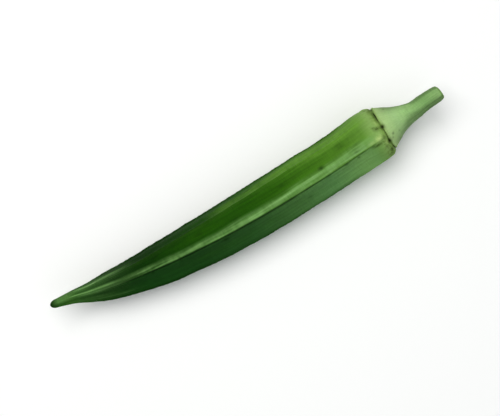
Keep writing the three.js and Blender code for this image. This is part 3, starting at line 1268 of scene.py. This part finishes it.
def living_green(nodes, textures):
    """The green of the skin, with its bands, ribs and streaks, painted highlights on the beak, painted
    light on the side that faces the light, and painted shade.
    """
    green = colour_along(nodes, GREENS)
    # Painted shade: a bluer green on the faces that turn away from the light.
    green = nodes.mix(green, colour_along(nodes, PAINTED_SHADE_GREENS), nodes.mask("painted_shade"))
    # The ribs tint holds painted highlights on the beak's upper side.
    for name in ("deep", "warm_band", "band", "ribs", "line"):
        green = tint(nodes, green, name, textures)
    # Painted light: the side that faces the light is made brighter.
    green = shade(nodes, green, "painted_lit_side", nodes.mask("painted_lit_side"))
    # Painted shade on the ridges at the sides of the pod.
    green = tint(nodes, green, "painted_edge_shade", textures)
    green = shade(nodes, green, "fibres", textures["fibres"])
    green = shade(nodes, green, "streaks", nodes.mask("streaks"))
    green = shade(nodes, green, "patches", textures["patches"])
    green = shade(nodes, green, "hatch", textures["hatch"])
    # Painted shade on the sides of the cone and the stalk.
    return shade(nodes, green, "painted_flank_shade", nodes.mask("painted_flank_shade"))


def add_marks(nodes, green, textures):
    """Pores, the painted shade in the creases, spots, pale and brown marks on the collar, and the scar."""
    green = shade(nodes, green, "pores", nodes.cells(PORE_SCALE))
    for name in ("crease", "spots", "mottled", "pale_marks", "marks", "dots", "scar"):
        green = tint(nodes, green, name, textures)
    return green


def skin_material():
    nodes = Nodes("pod_skin")
    inputs = nodes.shader.inputs
    textures = skin_textures(nodes)
    green = add_marks(nodes, living_green(nodes, textures), textures)
    cut = nodes.mask("cut")
    green = nodes.mix(green, nodes.ramp(cut, CUT_SHADES), nodes.spread(cut, 0.0, CUT_AT_RIM))
    nodes.plug(inputs["Base Color"], green)
    nodes.plug(inputs["Roughness"], nodes.spread(textures["grain"], *ROUGHNESS))
    for name, value in SKIN_SURFACE.items():
        inputs[name].default_value = value

    normal = None
    for name, (depth, strength) in BUMPS.items():
        normal = nodes.bump(textures[name], depth, strength, normal)
    nodes.plug(inputs["Normal"], normal)
    return nodes.material


def hair_material():
    """Downy hairs: green at the root and paler at the tip."""
    nodes = Nodes("pod_hairs")
    nodes.plug(nodes.shader.inputs["Base Color"], nodes.ramp(nodes.mask("to_tip"), HAIR_SHADES))
    nodes.shader.inputs["Roughness"].default_value = HAIR_ROUGHNESS
    return nodes.material


# The pale table, with its width in metres.
TABLE_WIDTH = 6
TABLE_GREY = colour(236, 237, 238)
TABLE_ROUGHNESS = 0.8


def make_floor():
    bpy.ops.mesh.primitive_plane_add(size=TABLE_WIDTH, location=(0, 0, 0))
    floor = bpy.context.object
    floor.name = "table"
    nodes = Nodes("table")
    nodes.shader.inputs["Base Color"].default_value = TABLE_GREY
    nodes.shader.inputs["Roughness"].default_value = TABLE_ROUGHNESS
    floor.data.materials.append(nodes.material)


# Two soft square lights: their place and size in metres, and their power in watts. Then the sky.
LIGHTS = {
    "key": {"place": (-0.08, 0.26, 0.72), "size": 0.7, "power": 5.4, "tone": (1.0, 0.99, 0.96)},
    "fill": {"place": (0.25, -0.5, 0.55), "size": 0.9, "power": 1.5, "tone": (0.92, 0.97, 1.0)},
}
SKY_TONE = (1.0, 1.0, 0.98, 1.0)
SKY_STRENGTH = 0.22


def make_light(name, place, size, power, tone):
    """A soft square light at a place, turned to the pod."""
    light = bpy.data.lights.new(name, "AREA")
    light.size = size
    light.energy = power
    light.color = tone
    lamp = bpy.data.objects.new(name, light)
    lamp.location = place
    lamp.rotation_euler = Vector(place).to_track_quat("Z", "Y").to_euler()
    bpy.context.scene.collection.objects.link(lamp)


def make_lighting():
    for name, light in LIGHTS.items():
        make_light(name, **light)
    world = bpy.data.worlds.new("studio")
    world.use_nodes = True
    background = world.node_tree.nodes["Background"]
    background.inputs["Color"].default_value = SKY_TONE
    background.inputs["Strength"].default_value = SKY_STRENGTH
    bpy.context.scene.world = world


# The camera looks straight down, rolled so that the stalk points to the upper right.
CHORD_ANGLE = 28.33
FRAME_SPAN = 158
LENS = 85
SENSOR = 36


def make_camera():
    camera_data = bpy.data.cameras.new("camera")
    camera_data.lens = LENS
    camera_data.sensor_width = SENSOR
    camera = bpy.data.objects.new("camera", camera_data)
    pod_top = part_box("okra_pod")[1].z
    camera.location = (0, 0, pod_top / 2 + FRAME_SPAN * MM * LENS / SENSOR)
    camera.rotation_euler = (0, 0, -math.radians(CHORD_ANGLE))
    bpy.context.scene.collection.objects.link(camera)
    bpy.context.scene.camera = camera


make_camera()
make_lighting()
make_floor()

skin = skin_grid()
pod_skin = make_skin(skin)
pod_skin.data.materials.append(skin_material())
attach(pod_skin, "root")
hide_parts("okra_pod")

pod_hairs = make_hairs(skin)
pod_hairs.data.materials.append(hair_material())
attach(pod_hairs, "root")

bpy.context.scene.view_settings.view_transform = "Standard"
bpy.context.scene.view_settings.look = "Medium High Contrast"
